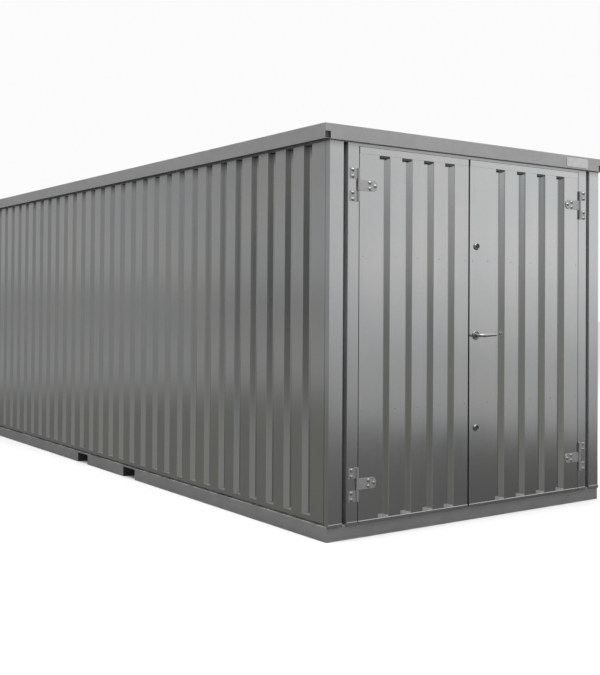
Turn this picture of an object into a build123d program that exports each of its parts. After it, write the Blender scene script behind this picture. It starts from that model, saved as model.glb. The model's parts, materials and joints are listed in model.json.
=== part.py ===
from build123d import *
import os

# Demountable storage container in bare galvanised sheet.
# X runs across, Y along the length with the doors at the -Y end, Z up.
# The origin is the centre of the base's underside.

# ---- driving dimensions, mm ------------------------------------------------
BASE_W = 2170.0          # base frame, across
BASE_L = 5220.0          # base frame, along
HEIGHT = 2150.0          # ground to top of roof edge
RAIL_H = 80.0            # base rail height
RAIL_T = 3.0             # base rail plate
RAIL_FLANGE = 80.0       # base rail flange width
UPSTAND_H = 12.0         # step on the rail that the wall panels stand on

WALL_IN = 4.0            # wall flats stand this far inside the base's faces
FRONT_OUT = 8.0          # door end stands this far proud of the base's face
WALL_T = 1.2             # wall sheet
GROOVE_DEPTH = 30.0
GROOVE_MOUTH = 75.0
GROOVE_BOTTOM = 37.0
SIDE_PITCH = 167.5       # groove spacing on the long sides
SIDE_GROOVES = 30
JOINT_A = 10             # panel joints lie in these grooves, counted from the doors
JOINT_B = 21
FOOT_H = 22.0            # flat strip along a panel's foot
REAR_PITCH = 164.0

FASCIA_H = 80.0          # roof edge height
FASCIA_T = 2.0
FASCIA_OUT_X = 30.0      # roof edge overhang beyond the base, sides
FASCIA_OUT_Y = 12.0      # roof edge overhang beyond the base, ends
FASCIA_LIP = 80.0        # lower flange
FASCIA_TOP = 40.0        # upper flange
DRAIN = 36.0             # square drain notch at the roof edge's corners
ROOF_TOP = 2140.0
ROOF_RIB = 20.0
ROOF_T = 1.0
PURLIN_W = 40.0

POST_T = 3.0
POST_IN = 990.0          # inner edge of the post's front flange
SLOT_IN = 960.0          # slot between post and jamb
JAMB_IN = 886.0          # jamb edge at the doorway
SLOT_DEPTH = 40.0

LEAF_EDGE = 882.0        # outer edge of both door leaves
SEAM_L = -79.0           # free edge of the left leaf
SEAM_R = -67.0           # free edge of the right leaf
LEAF_BOTTOM = 72.0
LEAF_TOP = 2043.0
LEAF_MOUTH = 75.0
LEAF_BOTTOM_W = 37.0
LEAF_DEPTH = 26.0        # groove depth of the leaves
LEAF_BACK = 50.0         # back of the leaf's frame behind its face
LEFT_GROOVES = (-708.0, -547.5, -387.0, -226.5)
RIGHT_GROOVES = (184.0, 361.0, 538.0, 715.0)
HEAD_STRIP = 39.0        # flat strip across the leaf's head
SOLE_STRIP = 18.0        # flat strip across the leaf's sole
STRIP_OUT = 4.0          # the sole strip stands this far proud
STILE_W = 40.0
TUBE_T = 2.0
LEAF_RAIL_Z = (115.0, 642.0, 1453.0, 1995.0)

HINGE_X = 893.0
HINGE_OFF = 7.5          # hinge axis in front of the door face
HINGE_Z = (282.0, 1845.0)
HINGE_HALF = 87.0
KNUCKLE_R = 6.5
PIN_R = 4.0
BORE_R = 4.3
STRAP_HALF = 28.5
STRAP_END = 762.0

HANDLE_X = -17.0
HANDLE_Z = 1048.0
ROSE_R = 26.0
LEVER_REACH = 119.0      # handle axis to the lever's tip
LEVER_OUT = 50.0         # lever's centre line in front of the leaf
LOCK_X = -13.0
LOCK_Z = (520.0, 1555.0)
LOCK_R = 20.0

FORK_Y = 386.0
FORK_W = 176.0
FORK_H = 70.0

# ---- derived ----------------------------------------------------------------
BX = BASE_W / 2
BY = BASE_L / 2
WX = BX - WALL_IN                 # outer face of the side walls
FY = -(BY + FRONT_OUT)            # outer face of the door end
RY = BY - WALL_IN                 # outer face of the rear wall
FX = BX + FASCIA_OUT_X
FYO = BY + FASCIA_OUT_Y
EAVE = HEIGHT - FASCIA_H
FLOOR_T = 21.0
PANEL_Z = RAIL_H + UPSTAND_H
AXIS_Y = FY - HINGE_OFF
POST_FRONT_RUN = 35.0

os.makedirs("parts", exist_ok=True)


def block(x0, x1, y0, y1, z0, z1, mode=Mode.ADD):
    """A square bar between two corners, on the plane of its underside."""
    with BuildSketch(Plane.XY.offset(min(z0, z1))) as foot:
        with Locations(((x0 + x1) / 2, (y0 + y1) / 2)):
            Rectangle(abs(x1 - x0), abs(y1 - y0))
    extrude(foot.sketch, amount=abs(z1 - z0), mode=mode)


def plan(points, z0, z1, mode=Mode.ADD):
    """A section drawn in plan and drawn up from z0 to z1."""
    with BuildSketch(Plane.XY.offset(z0)) as foot:
        with BuildLine():
            Polyline(*points, close=True)
        make_face()
    extrude(foot.sketch, amount=z1 - z0, mode=mode)


def folded(start, end, centres, mouth, bottom, depth, thick):
    """Outline of a corrugated sheet: u along it, v from the outer face inwards."""
    outer = [(start, 0.0)]
    for c in centres:
        outer += [(c - mouth / 2, 0.0), (c - bottom / 2, depth),
                  (c + bottom / 2, depth), (c + mouth / 2, 0.0)]
    outer.append((end, 0.0))
    # the inner face is shifted inwards by one thickness, with the fold lines eased
    ease = 0.3 * thick
    inner = [(start, thick)]
    for c in centres:
        inner += [(c - mouth / 2 - ease, thick), (c - bottom / 2 - ease, depth + thick),
                  (c + bottom / 2 + ease, depth + thick), (c + mouth / 2 + ease, thick)]
    inner.append((end, thick))
    return outer + inner[::-1]


def finish(piece, name):
    piece.part.label = name
    export_step(piece.part, "parts/" + name + ".step")


# ---- base frame ---------------------------------------------------------------
def side_rail(sign):
    """C rail of a long side, with mitred ends, panel step and two fork notches."""
    block(sign * BX, sign * (BX - RAIL_T), -BY, BY, 0, RAIL_H)
    block(sign * (BX - RAIL_T), sign * (BX - RAIL_FLANGE), -BY, BY, 0, RAIL_T)
    block(sign * (BX - RAIL_T), sign * (BX - RAIL_FLANGE), -BY, BY, RAIL_H - RAIL_T, RAIL_H)
    for y in (-FORK_Y, FORK_Y):
        block(sign * (BX + 1), sign * (BX - RAIL_T), y - FORK_W / 2, y + FORK_W / 2,
              -1, FORK_H, mode=Mode.SUBTRACT)
        block(sign * (BX - RAIL_T), sign * (BX - RAIL_FLANGE - 1),
              y - FORK_W / 2 - RAIL_T, y + FORK_W / 2 + RAIL_T,
              -1, FORK_H, mode=Mode.SUBTRACT)
    m = RAIL_FLANGE + 1
    for end in (-1, 1):
        # the mitre takes a triangle off the rail's end
        plan([(sign * BX, end * BY), (sign * (BX - m), end * (BY - m)),
              (sign * (BX - m), end * (BY + 1)), (sign * BX, end * (BY + 1))],
             -1, RAIL_H + 1, mode=Mode.SUBTRACT)
    block(sign * (BX - 19), sign * (BX - 45), 53 - BY, BY - 53, RAIL_H, PANEL_Z)


def end_rail(sign):
    """C rail of a short end, with mitred ends."""
    block(-BX, BX, sign * BY, sign * (BY - RAIL_T), 0, RAIL_H)
    block(-BX, BX, sign * (BY - RAIL_T), sign * (BY - RAIL_FLANGE), 0, RAIL_T)
    block(-BX, BX, sign * (BY - RAIL_T), sign * (BY - RAIL_FLANGE), RAIL_H - RAIL_T, RAIL_H)
    m = RAIL_FLANGE + 1
    for side in (-1, 1):
        plan([(side * BX, sign * BY), (side * (BX - m), sign * (BY - m)),
              (side * (BX + 1), sign * (BY - m)), (side * (BX + 1), sign * BY)],
             -1, RAIL_H + 1, mode=Mode.SUBTRACT)


with BuildPart() as base_rail_left:
    side_rail(-1)
finish(base_rail_left, "base_rail_left")

with BuildPart() as base_rail_right:
    side_rail(1)
finish(base_rail_right, "base_rail_right")

with BuildPart() as base_rail_front:
    end_rail(-1)
finish(base_rail_front, "base_rail_front")

with BuildPart() as base_rail_rear:
    end_rail(1)
    block(-985, 985, RY - 15, RY - 41, RAIL_H, PANEL_Z)
finish(base_rail_rear, "base_rail_rear")


def fork_tunnel(y):
    """Inverted channel across the base that the fork's tine goes into."""
    block(-BX + RAIL_T, BX - RAIL_T, y - FORK_W / 2 - RAIL_T, y + FORK_W / 2 + RAIL_T,
          0, FORK_H + RAIL_T)
    block(-BX, BX, y - FORK_W / 2, y + FORK_W / 2, -1, FORK_H, mode=Mode.SUBTRACT)


with BuildPart() as fork_pocket_front:
    fork_tunnel(-FORK_Y)
finish(fork_pocket_front, "fork_pocket_front")

with BuildPart() as fork_pocket_rear:
    fork_tunnel(FORK_Y)
finish(fork_pocket_rear, "fork_pocket_rear")

# channel joists under the floor, one of them at the middle
JOIST_Y = (-2000.0, -1350.0, -740.0, 0.0, 740.0, 1350.0, 2000.0)
with BuildPart() as floor_joists:
    for jy in JOIST_Y:
        block(-(BX - RAIL_FLANGE), BX - RAIL_FLANGE, jy - 30, jy + 30, 0, RAIL_H)
        block(-BX, BX, jy - 30 + RAIL_T, jy + 31, RAIL_T, RAIL_H - RAIL_T, mode=Mode.SUBTRACT)
finish(floor_joists, "floor_joists")

FLOOR_Y0, FLOOR_Y1, FLOOR_X = FY + 64, RY - 43, BX - 48
with BuildPart() as floor_boards:
    run = (FLOOR_Y1 - FLOOR_Y0 - 3 * 1.5) / 4
    for k in range(4):
        y0 = FLOOR_Y0 + k * (run + 1.5)
        block(-FLOOR_X, FLOOR_X, y0, y0 + run, RAIL_H, RAIL_H + FLOOR_T)
finish(floor_boards, "floor_boards")

# ---- corner posts ----------------------------------------------------------------


def front_post(s):
    """Folded post: side flange, front flange, return and the back of the slot."""
    block(s * WX, s * (WX - POST_T), FY, FY + POST_FRONT_RUN, RAIL_H, EAVE)
    block(s * WX, s * POST_IN, FY, FY + POST_T, RAIL_H - 10, EAVE)
    block(s * POST_IN, s * (POST_IN + POST_T), FY, FY + SLOT_DEPTH + POST_T, RAIL_H, EAVE)
    block(s * (POST_IN + POST_T), s * (SLOT_IN - 5), FY + SLOT_DEPTH, FY + SLOT_DEPTH + POST_T,
          RAIL_H, EAVE)
    block(s * WX, s * POST_IN, FY - STRIP_OUT, FY, RAIL_H - 8, RAIL_H + 10)


def rear_post(s):
    """Folded angle post."""
    block(s * WX, s * (WX - POST_T), RY - POST_FRONT_RUN, RY, RAIL_H, EAVE)
    block(s * WX, s * POST_IN, RY - POST_T, RY, RAIL_H, EAVE)


with BuildPart() as post_front_left:
    front_post(-1)
finish(post_front_left, "post_front_left")

with BuildPart() as post_front_right:
    front_post(1)
finish(post_front_right, "post_front_right")

with BuildPart() as post_rear_left:
    rear_post(-1)
finish(post_rear_left, "post_rear_left")

with BuildPart() as post_rear_right:
    rear_post(1)
finish(post_rear_right, "post_rear_right")

# ---- long sides --------------------------------------------------------------------
GROOVE_Y = [(k - (SIDE_GROOVES - 1) / 2) * SIDE_PITCH for k in range(SIDE_GROOVES)]
WALL_Y0 = FY + POST_FRONT_RUN + 4
WALL_Y1 = RY - POST_FRONT_RUN - 4
YA = GROOVE_Y[JOINT_A - 1]
YB = GROOVE_Y[JOINT_B - 1]


def side_panel(s, y0, y1, centres, head_end=None, tail_end=None):
    """Corrugated panel. Where a joint lies in a groove, the panel ends at its bottom."""
    m, b, d, t = GROOVE_MOUTH, GROOVE_BOTTOM, GROOVE_DEPTH, WALL_T
    ease = 0.3 * t
    outer, inner = [], []
    if head_end is None:
        outer.append((y0, 0.0))
        inner.append((y0, t))
    else:
        outer += [(y0, d), (head_end + b / 2, d), (head_end + m / 2, 0.0)]
        inner += [(y0, d + t), (head_end + b / 2 + ease, d + t), (head_end + m / 2 + ease, t)]
    for c in centres:
        outer += [(c - m / 2, 0.0), (c - b / 2, d), (c + b / 2, d), (c + m / 2, 0.0)]
        inner += [(c - m / 2 - ease, t), (c - b / 2 - ease, d + t),
                  (c + b / 2 + ease, d + t), (c + m / 2 + ease, t)]
    if tail_end is None:
        outer.append((y1, 0.0))
        inner.append((y1, t))
    else:
        outer += [(tail_end - m / 2, 0.0), (tail_end - b / 2, d), (y1, d)]
        inner += [(tail_end - m / 2 - ease, t), (tail_end - b / 2 - ease, d + t), (y1, d + t)]
    shape = [(s * (WX - v), u) for u, v in outer + inner[::-1]]
    plan(shape, PANEL_Z, EAVE)
    block(s * WX, s * (WX - t), y0, y1, PANEL_Z, PANEL_Z + FOOT_H)
    top = PANEL_Z + FOOT_H
    for c in centres:
        # a ledge closes the foot of each groove
        plan([(s * WX, c - m / 2), (s * (WX - d), c - b / 2),
              (s * (WX - d), c + b / 2), (s * WX, c + m / 2)], top - t, top)


LAP = 0.5
FRONT_C = GROOVE_Y[:JOINT_A - 1]
MID_C = GROOVE_Y[JOINT_A:JOINT_B - 1]
REAR_C = GROOVE_Y[JOINT_B:]

with BuildPart() as wall_left_front:
    side_panel(-1, WALL_Y0, YA - LAP, FRONT_C, tail_end=YA)
finish(wall_left_front, "wall_left_front")

with BuildPart() as wall_left_middle:
    side_panel(-1, YA + LAP, YB - LAP, MID_C, head_end=YA, tail_end=YB)
finish(wall_left_middle, "wall_left_middle")

with BuildPart() as wall_left_rear:
    side_panel(-1, YB + LAP, WALL_Y1, REAR_C, head_end=YB)
finish(wall_left_rear, "wall_left_rear")

with BuildPart() as wall_right_front:
    side_panel(1, WALL_Y0, YA - LAP, FRONT_C, tail_end=YA)
finish(wall_right_front, "wall_right_front")

with BuildPart() as wall_right_middle:
    side_panel(1, YA + LAP, YB - LAP, MID_C, head_end=YA, tail_end=YB)
finish(wall_right_middle, "wall_right_middle")

with BuildPart() as wall_right_rear:
    side_panel(1, YB + LAP, WALL_Y1, REAR_C, head_end=YB)
finish(wall_right_rear, "wall_right_rear")

# ---- rear wall -----------------------------------------------------------------------
REAR_X = [REAR_PITCH * (k + 0.5) for k in range(6)]


def rear_panel(s):
    """Half of the rear wall."""
    shape = folded(LAP, POST_IN - 2, REAR_X, GROOVE_MOUTH, GROOVE_BOTTOM, GROOVE_DEPTH, WALL_T)
    plan([(s * u, RY - v) for u, v in shape], PANEL_Z, EAVE)
    block(s * LAP, s * (POST_IN - 2), RY, RY - WALL_T, PANEL_Z, PANEL_Z + FOOT_H)


with BuildPart() as wall_rear_left:
    rear_panel(-1)
finish(wall_rear_left, "wall_rear_left")

with BuildPart() as wall_rear_right:
    rear_panel(1)
finish(wall_rear_right, "wall_rear_right")

# ---- doorway ------------------------------------------------------------------------------
HEAD_Z = LEAF_TOP + 6
STOP_Y = FY + 56


def jamb(s):
    """Folded jamb: outer return, face, reveal and a stop behind the leaf."""
    t = POST_T
    block(s * SLOT_IN, s * (SLOT_IN - t), FY, FY + SLOT_DEPTH, RAIL_H, EAVE)
    block(s * SLOT_IN, s * JAMB_IN, FY, FY + t, RAIL_H - 10, EAVE)
    block(s * (JAMB_IN + t), s * JAMB_IN, FY, STOP_Y + t, RAIL_H, EAVE)
    block(s * (JAMB_IN + t), s * 860, STOP_Y, STOP_Y + t, RAIL_H + 4, HEAD_Z)
    block(s * SLOT_IN, s * JAMB_IN, FY - STRIP_OUT, FY, RAIL_H - 8, RAIL_H + 10)


with BuildPart() as door_jamb_left:
    jamb(-1)
finish(door_jamb_left, "door_jamb_left")

with BuildPart() as door_jamb_right:
    jamb(1)
finish(door_jamb_right, "door_jamb_right")

with BuildPart() as door_header:
    block(-JAMB_IN, JAMB_IN, FY, FY + POST_T, HEAD_Z, EAVE)
    block(-JAMB_IN, JAMB_IN, FY, STOP_Y + POST_T, HEAD_Z, HEAD_Z + POST_T)
    block(-859, 859, STOP_Y, STOP_Y + POST_T, HEAD_Z - 34, HEAD_Z)
finish(door_header, "door_header")

with BuildPart() as door_sill:
    block(-JAMB_IN, JAMB_IN, -BY, STOP_Y + POST_T, RAIL_H, RAIL_H + 4)
    block(-859, 859, STOP_Y, STOP_Y + POST_T, RAIL_H + 4, RAIL_H + FLOOR_T)
finish(door_sill, "door_sill")

# ---- roof -------------------------------------------------------------------------------------


def side_fascia(s):
    """Flat roof edge of a long side, with lower and upper flange and mitred ends."""
    t = FASCIA_T
    block(s * FX, s * (FX - t), -FYO, FYO, EAVE, HEIGHT)
    block(s * (FX - t), s * (FX - FASCIA_LIP), -FYO, FYO, EAVE, EAVE + t)
    block(s * (FX - t), s * (FX - FASCIA_TOP), -FYO, FYO, HEIGHT - t, HEIGHT)
    m = FASCIA_LIP + 1
    for end in (-1, 1):
        plan([(s * FX, end * FYO), (s * (FX - m), end * (FYO - m)),
              (s * (FX - m), end * (FYO + 1)), (s * FX, end * (FYO + 1))],
             EAVE - 1, HEIGHT + 1, mode=Mode.SUBTRACT)


def end_fascia(s):
    """Flat roof edge of a short end, with a square drain notch at each corner."""
    t = FASCIA_T
    block(-FX, FX, s * FYO, s * (FYO - t), EAVE, HEIGHT)
    block(-FX, FX, s * (FYO - t), s * (FYO - FASCIA_LIP), EAVE, EAVE + t)
    block(-FX, FX, s * (FYO - t), s * (FYO - FASCIA_TOP), HEIGHT - t, HEIGHT)
    m = FASCIA_LIP + 1
    for side in (-1, 1):
        plan([(side * FX, s * FYO), (side * (FX - m), s * (FYO - m)),
              (side * (FX + 1), s * (FYO - m)), (side * (FX + 1), s * FYO)],
             EAVE - 1, HEIGHT + 1, mode=Mode.SUBTRACT)
        block(side * (FX + 1), side * (FX - DRAIN), s * (FYO + 1), s * (FYO - t),
              EAVE + t, EAVE + t + DRAIN, mode=Mode.SUBTRACT)


with BuildPart() as roof_fascia_left:
    side_fascia(-1)
finish(roof_fascia_left, "roof_fascia_left")

with BuildPart() as roof_fascia_right:
    side_fascia(1)
finish(roof_fascia_right, "roof_fascia_right")

with BuildPart() as roof_fascia_front:
    end_fascia(-1)
finish(roof_fascia_front, "roof_fascia_front")

with BuildPart() as roof_fascia_rear:
    end_fascia(1)
finish(roof_fascia_rear, "roof_fascia_rear")

# corrugated roof sheet, its ribs running across
ROOF_LEN = FYO - 6
ROOF_C = [(k - 15) * SIDE_PITCH for k in range(31)]
with BuildPart() as roof_sheet:
    with BuildSketch(Plane.YZ.offset(-(FX - 5))) as roof_section:
        with BuildLine():
            outline = folded(-ROOF_LEN, ROOF_LEN, ROOF_C, 84, 40, ROOF_RIB, ROOF_T)
            Polyline(*[(u, ROOF_TOP - v) for u, v in outline], close=True)
        make_face()
    extrude(amount=2 * (FX - 5))
finish(roof_sheet, "roof_sheet")

# two channels along the roof, standing on the end flanges
PURLIN_Z1 = ROOF_TOP - ROOF_RIB - ROOF_T
with BuildPart() as roof_purlins:
    for px in (-380.0, 380.0):
        block(px - PURLIN_W / 2, px + PURLIN_W / 2, -(FYO - 8), FYO - 8, EAVE + FASCIA_T, PURLIN_Z1)
        block(px - PURLIN_W / 2 + 2, px + PURLIN_W / 2 + 1, -FYO, FYO,
              EAVE + FASCIA_T + 2, PURLIN_Z1 - 2, mode=Mode.SUBTRACT)
finish(roof_purlins, "roof_purlins")

with BuildPart() as name_plate:
    with BuildSketch(Plane.XZ.offset(FYO)):
        with Locations((870, 2109)):
            RectangleRounded(202, 58, 4)
    extrude(amount=2)
finish(name_plate, "name_plate")

# ---- door leaves -----------------------------------------------------------------------------


def leaf_sheet(x0, x1, centres):
    """Corrugated leaf sheet with flat head and sole strips over the groove ends."""
    shape = folded(x0, x1, centres, LEAF_MOUTH, LEAF_BOTTOM_W, LEAF_DEPTH, WALL_T)
    plan([(u, FY + v) for u, v in shape], RAIL_H + 10, LEAF_TOP)
    block(x0, x1, FY, FY + WALL_T, LEAF_BOTTOM, LEAF_BOTTOM + SOLE_STRIP)
    block(x0, x1, FY, FY + WALL_T, LEAF_TOP - HEAD_STRIP, LEAF_TOP)
    block(x0, x1, FY - STRIP_OUT, FY, LEAF_BOTTOM, LEAF_BOTTOM + SOLE_STRIP)
    top = LEAF_BOTTOM + SOLE_STRIP
    back = FY + LEAF_DEPTH + WALL_T
    for c in centres:
        # a ledge closes the foot of each groove, and the groove's walls stand on its rim
        plan([(c - LEAF_MOUTH / 2 - 1, FY), (c - LEAF_BOTTOM_W / 2 - 1, back),
              (c + LEAF_BOTTOM_W / 2 + 1, back), (c + LEAF_MOUTH / 2 + 1, FY)],
             top - WALL_T, top)


def tube(x0, x1, y0, y1, z0, z1, along):
    """Rectangular tube, open at its two ends."""
    t = TUBE_T
    block(x0, x1, y0, y1, z0, z1)
    if along == "z":
        block(x0 + t, x1 - t, y0 + t, y1 - t, z0 - 1, z1 + 1, mode=Mode.SUBTRACT)
    else:
        block(x0 - 1, x1 + 1, y0 + t, y1 - t, z0 + t, z1 - t, mode=Mode.SUBTRACT)


def leaf_stiles(x0, x1):
    for a in (x0, x1 - STILE_W):
        tube(a, a + STILE_W, FY + WALL_T, FY + LEAF_BACK, RAIL_H + 15, LEAF_TOP - 3, "z")


def leaf_rails(x0, x1):
    for z in LEAF_RAIL_Z:
        tube(x0 + STILE_W, x1 - STILE_W, FY + LEAF_DEPTH + WALL_T, FY + LEAF_BACK, z, z + 40, "x")


with BuildPart() as left_leaf_sheet:
    leaf_sheet(-LEAF_EDGE, SEAM_L, LEFT_GROOVES)
finish(left_leaf_sheet, "left_leaf_sheet")

with BuildPart() as left_leaf_stiles:
    leaf_stiles(-LEAF_EDGE, SEAM_L)
finish(left_leaf_stiles, "left_leaf_stiles")

with BuildPart() as left_leaf_rails:
    leaf_rails(-LEAF_EDGE, SEAM_L)
finish(left_leaf_rails, "left_leaf_rails")

with BuildPart() as right_leaf_sheet:
    leaf_sheet(SEAM_R, LEAF_EDGE, RIGHT_GROOVES)
finish(right_leaf_sheet, "right_leaf_sheet")

with BuildPart() as right_leaf_stiles:
    leaf_stiles(SEAM_R, LEAF_EDGE)
finish(right_leaf_stiles, "right_leaf_stiles")

with BuildPart() as right_leaf_rails:
    leaf_rails(SEAM_R, LEAF_EDGE)
finish(right_leaf_rails, "right_leaf_rails")

# ---- hinges ------------------------------------------------------------------------------------


def round_bar(x, y, r, z0, z1, mode=Mode.ADD):
    with BuildSketch(Plane.XY.offset(z0)) as foot:
        with Locations((x, y)):
            Circle(r)
    extrude(foot.sketch, amount=z1 - z0, mode=mode)


def fixed_hinge(s, z):
    """Two tabs on the jamb with their knuckles, and the pin between them."""
    for k in (-1, 1):
        a, b = sorted((z + k * (STRAP_HALF + 3), z + k * HINGE_HALF))
        round_bar(s * HINGE_X, AXIS_Y, KNUCKLE_R, a, b)
        plan([(s * HINGE_X, AXIS_Y + 2.5), (s * (HINGE_X + 7), FY - 3),
              (s * (HINGE_X + 55), FY - 3), (s * (HINGE_X + 55), FY),
              (s * (HINGE_X - 1), FY), (s * (HINGE_X - 4), FY - 3)], a, b)
    round_bar(s * HINGE_X, AXIS_Y, PIN_R, z - HINGE_HALF + 5, z + HINGE_HALF - 5)


def strap_outline(s):
    """Section of a strap in plan: flat on the leaf, lifted a little clear of the jamb at its knuckle."""
    y = FY
    return [(s * STRAP_END, y), (s * 874, y), (s * 879, y - 1.5), (s * (HINGE_X - 2), y - 1.5),
            (s * (HINGE_X - 2), y - 5), (s * 877.5, y - 5), (s * 873, y - 4), (s * STRAP_END, y - 4)]


def strap(s, z):
    a, b = z - STRAP_HALF, z + STRAP_HALF
    plan(strap_outline(s), a, b)
    round_bar(s * HINGE_X, AXIS_Y, KNUCKLE_R, a, b)
    round_bar(s * HINGE_X, AXIS_Y, BORE_R, a - 1, b + 1, mode=Mode.SUBTRACT)


with BuildPart() as hinge_leaves_left:
    for hz in HINGE_Z:
        fixed_hinge(-1, hz)
finish(hinge_leaves_left, "hinge_leaves_left")

with BuildPart() as hinge_leaves_right:
    for hz in HINGE_Z:
        fixed_hinge(1, hz)
finish(hinge_leaves_right, "hinge_leaves_right")

with BuildPart() as left_leaf_straps:
    for hz in HINGE_Z:
        strap(-1, hz)
    fillet(left_leaf_straps.edges().filter_by(Axis.Y).group_by(Axis.X)[-1], radius=24)
finish(left_leaf_straps, "left_leaf_straps")

with BuildPart() as right_leaf_straps:
    for hz in HINGE_Z:
        strap(1, hz)
    fillet(right_leaf_straps.edges().filter_by(Axis.Y).group_by(Axis.X)[0], radius=24)
finish(right_leaf_straps, "right_leaf_straps")

# ---- handle and locks --------------------------------------------------------------------------
with BuildPart() as handle_rose:
    with BuildSketch(Plane.XZ.offset(-FY)):
        with Locations((HANDLE_X, HANDLE_Z)):
            Circle(ROSE_R)
            Circle(9.5, mode=Mode.SUBTRACT)
    extrude(amount=7)
    chamfer(handle_rose.edges().filter_by(GeomType.CIRCLE).sort_by(Axis.Y)[0:2].sort_by(SortBy.RADIUS)[-1],
            length=2)
finish(handle_rose, "handle_rose")

with BuildPart() as handle_lever:
    with BuildSketch(Plane.XZ.offset(-FY + 0.5)):
        with Locations((HANDLE_X, HANDLE_Z)):
            Circle(9)
    extrude(amount=LEVER_OUT - 0.5)
    with BuildSketch(Plane.YZ.offset(HANDLE_X - 10)):
        with Locations((FY - LEVER_OUT, HANDLE_Z)):
            Ellipse(8.5, 10.5)
    with BuildSketch(Plane.YZ.offset(HANDLE_X + LEVER_REACH)):
        with Locations((FY - LEVER_OUT, HANDLE_Z + 6)):
            Ellipse(6.5, 8)
    loft()
finish(handle_lever, "handle_lever")

with BuildPart() as lock_cylinders:
    for lz in LOCK_Z:
        with BuildSketch(Plane.XZ.offset(-FY)) as disc:
            with Locations((LOCK_X, lz)):
                Circle(LOCK_R)
        extrude(amount=9)
        with BuildSketch(Plane.XZ.offset(-FY + 5)) as well:
            with Locations((LOCK_X, lz)):
                Circle(13)
        extrude(amount=5, mode=Mode.SUBTRACT)
finish(lock_cylinders, "lock_cylinders")
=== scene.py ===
import json
import math

import bmesh
import bpy
from mathutils import Matrix, Vector, noise


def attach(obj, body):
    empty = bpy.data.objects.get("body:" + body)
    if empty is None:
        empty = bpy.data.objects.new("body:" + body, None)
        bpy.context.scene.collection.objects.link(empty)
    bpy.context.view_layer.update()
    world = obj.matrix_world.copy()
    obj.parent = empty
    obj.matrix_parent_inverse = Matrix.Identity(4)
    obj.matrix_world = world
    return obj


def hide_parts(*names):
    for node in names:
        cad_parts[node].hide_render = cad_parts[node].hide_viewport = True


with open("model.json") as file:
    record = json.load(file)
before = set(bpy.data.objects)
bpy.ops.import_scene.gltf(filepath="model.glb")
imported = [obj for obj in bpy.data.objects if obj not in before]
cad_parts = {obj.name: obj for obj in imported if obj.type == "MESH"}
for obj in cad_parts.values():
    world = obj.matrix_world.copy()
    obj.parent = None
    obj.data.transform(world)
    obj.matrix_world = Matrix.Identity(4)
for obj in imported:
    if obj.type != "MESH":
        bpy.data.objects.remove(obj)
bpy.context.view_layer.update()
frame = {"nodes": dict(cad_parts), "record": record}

scene = bpy.context.scene
NODES = frame["nodes"]
BODY = {n: b for b, ns in frame["record"]["behaviour"]["bodies"].items() for n in ns}
MM = 0.001

# ---- sizes shared with the part, in millimetres ------------------------------------------------
WX, FY, RY = 1081.0, -2618.0, 2606.0
FX, FYO = 1115.0, 2622.0
PANEL_Z, EAVE = 92.0, 2070.0
PITCH, MOUTH, BOTTOM, DEPTH, SHEET_T = 167.5, 75.0, 37.0, 30.0, 1.2
LEAF_EDGE, LEAF_MOUTH, LEAF_BOTTOM, LEAF_DEPTH = 882.0, 75.0, 37.0, 26.0
LEFT_GROOVES, RIGHT_GROOVES = (-708.0, -547.5, -387.0, -226.5), (184.0, 361.0, 538.0, 715.0)
FOOT_Z = 114.0
HINGE_X, HINGE_Z = 893.0, (282.0, 1845.0)
HANDLE_X, HANDLE_Z = -17.0, 1048.0
LOCK_X, LOCK_Z = -13.0, (520.0, 1555.0)


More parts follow.
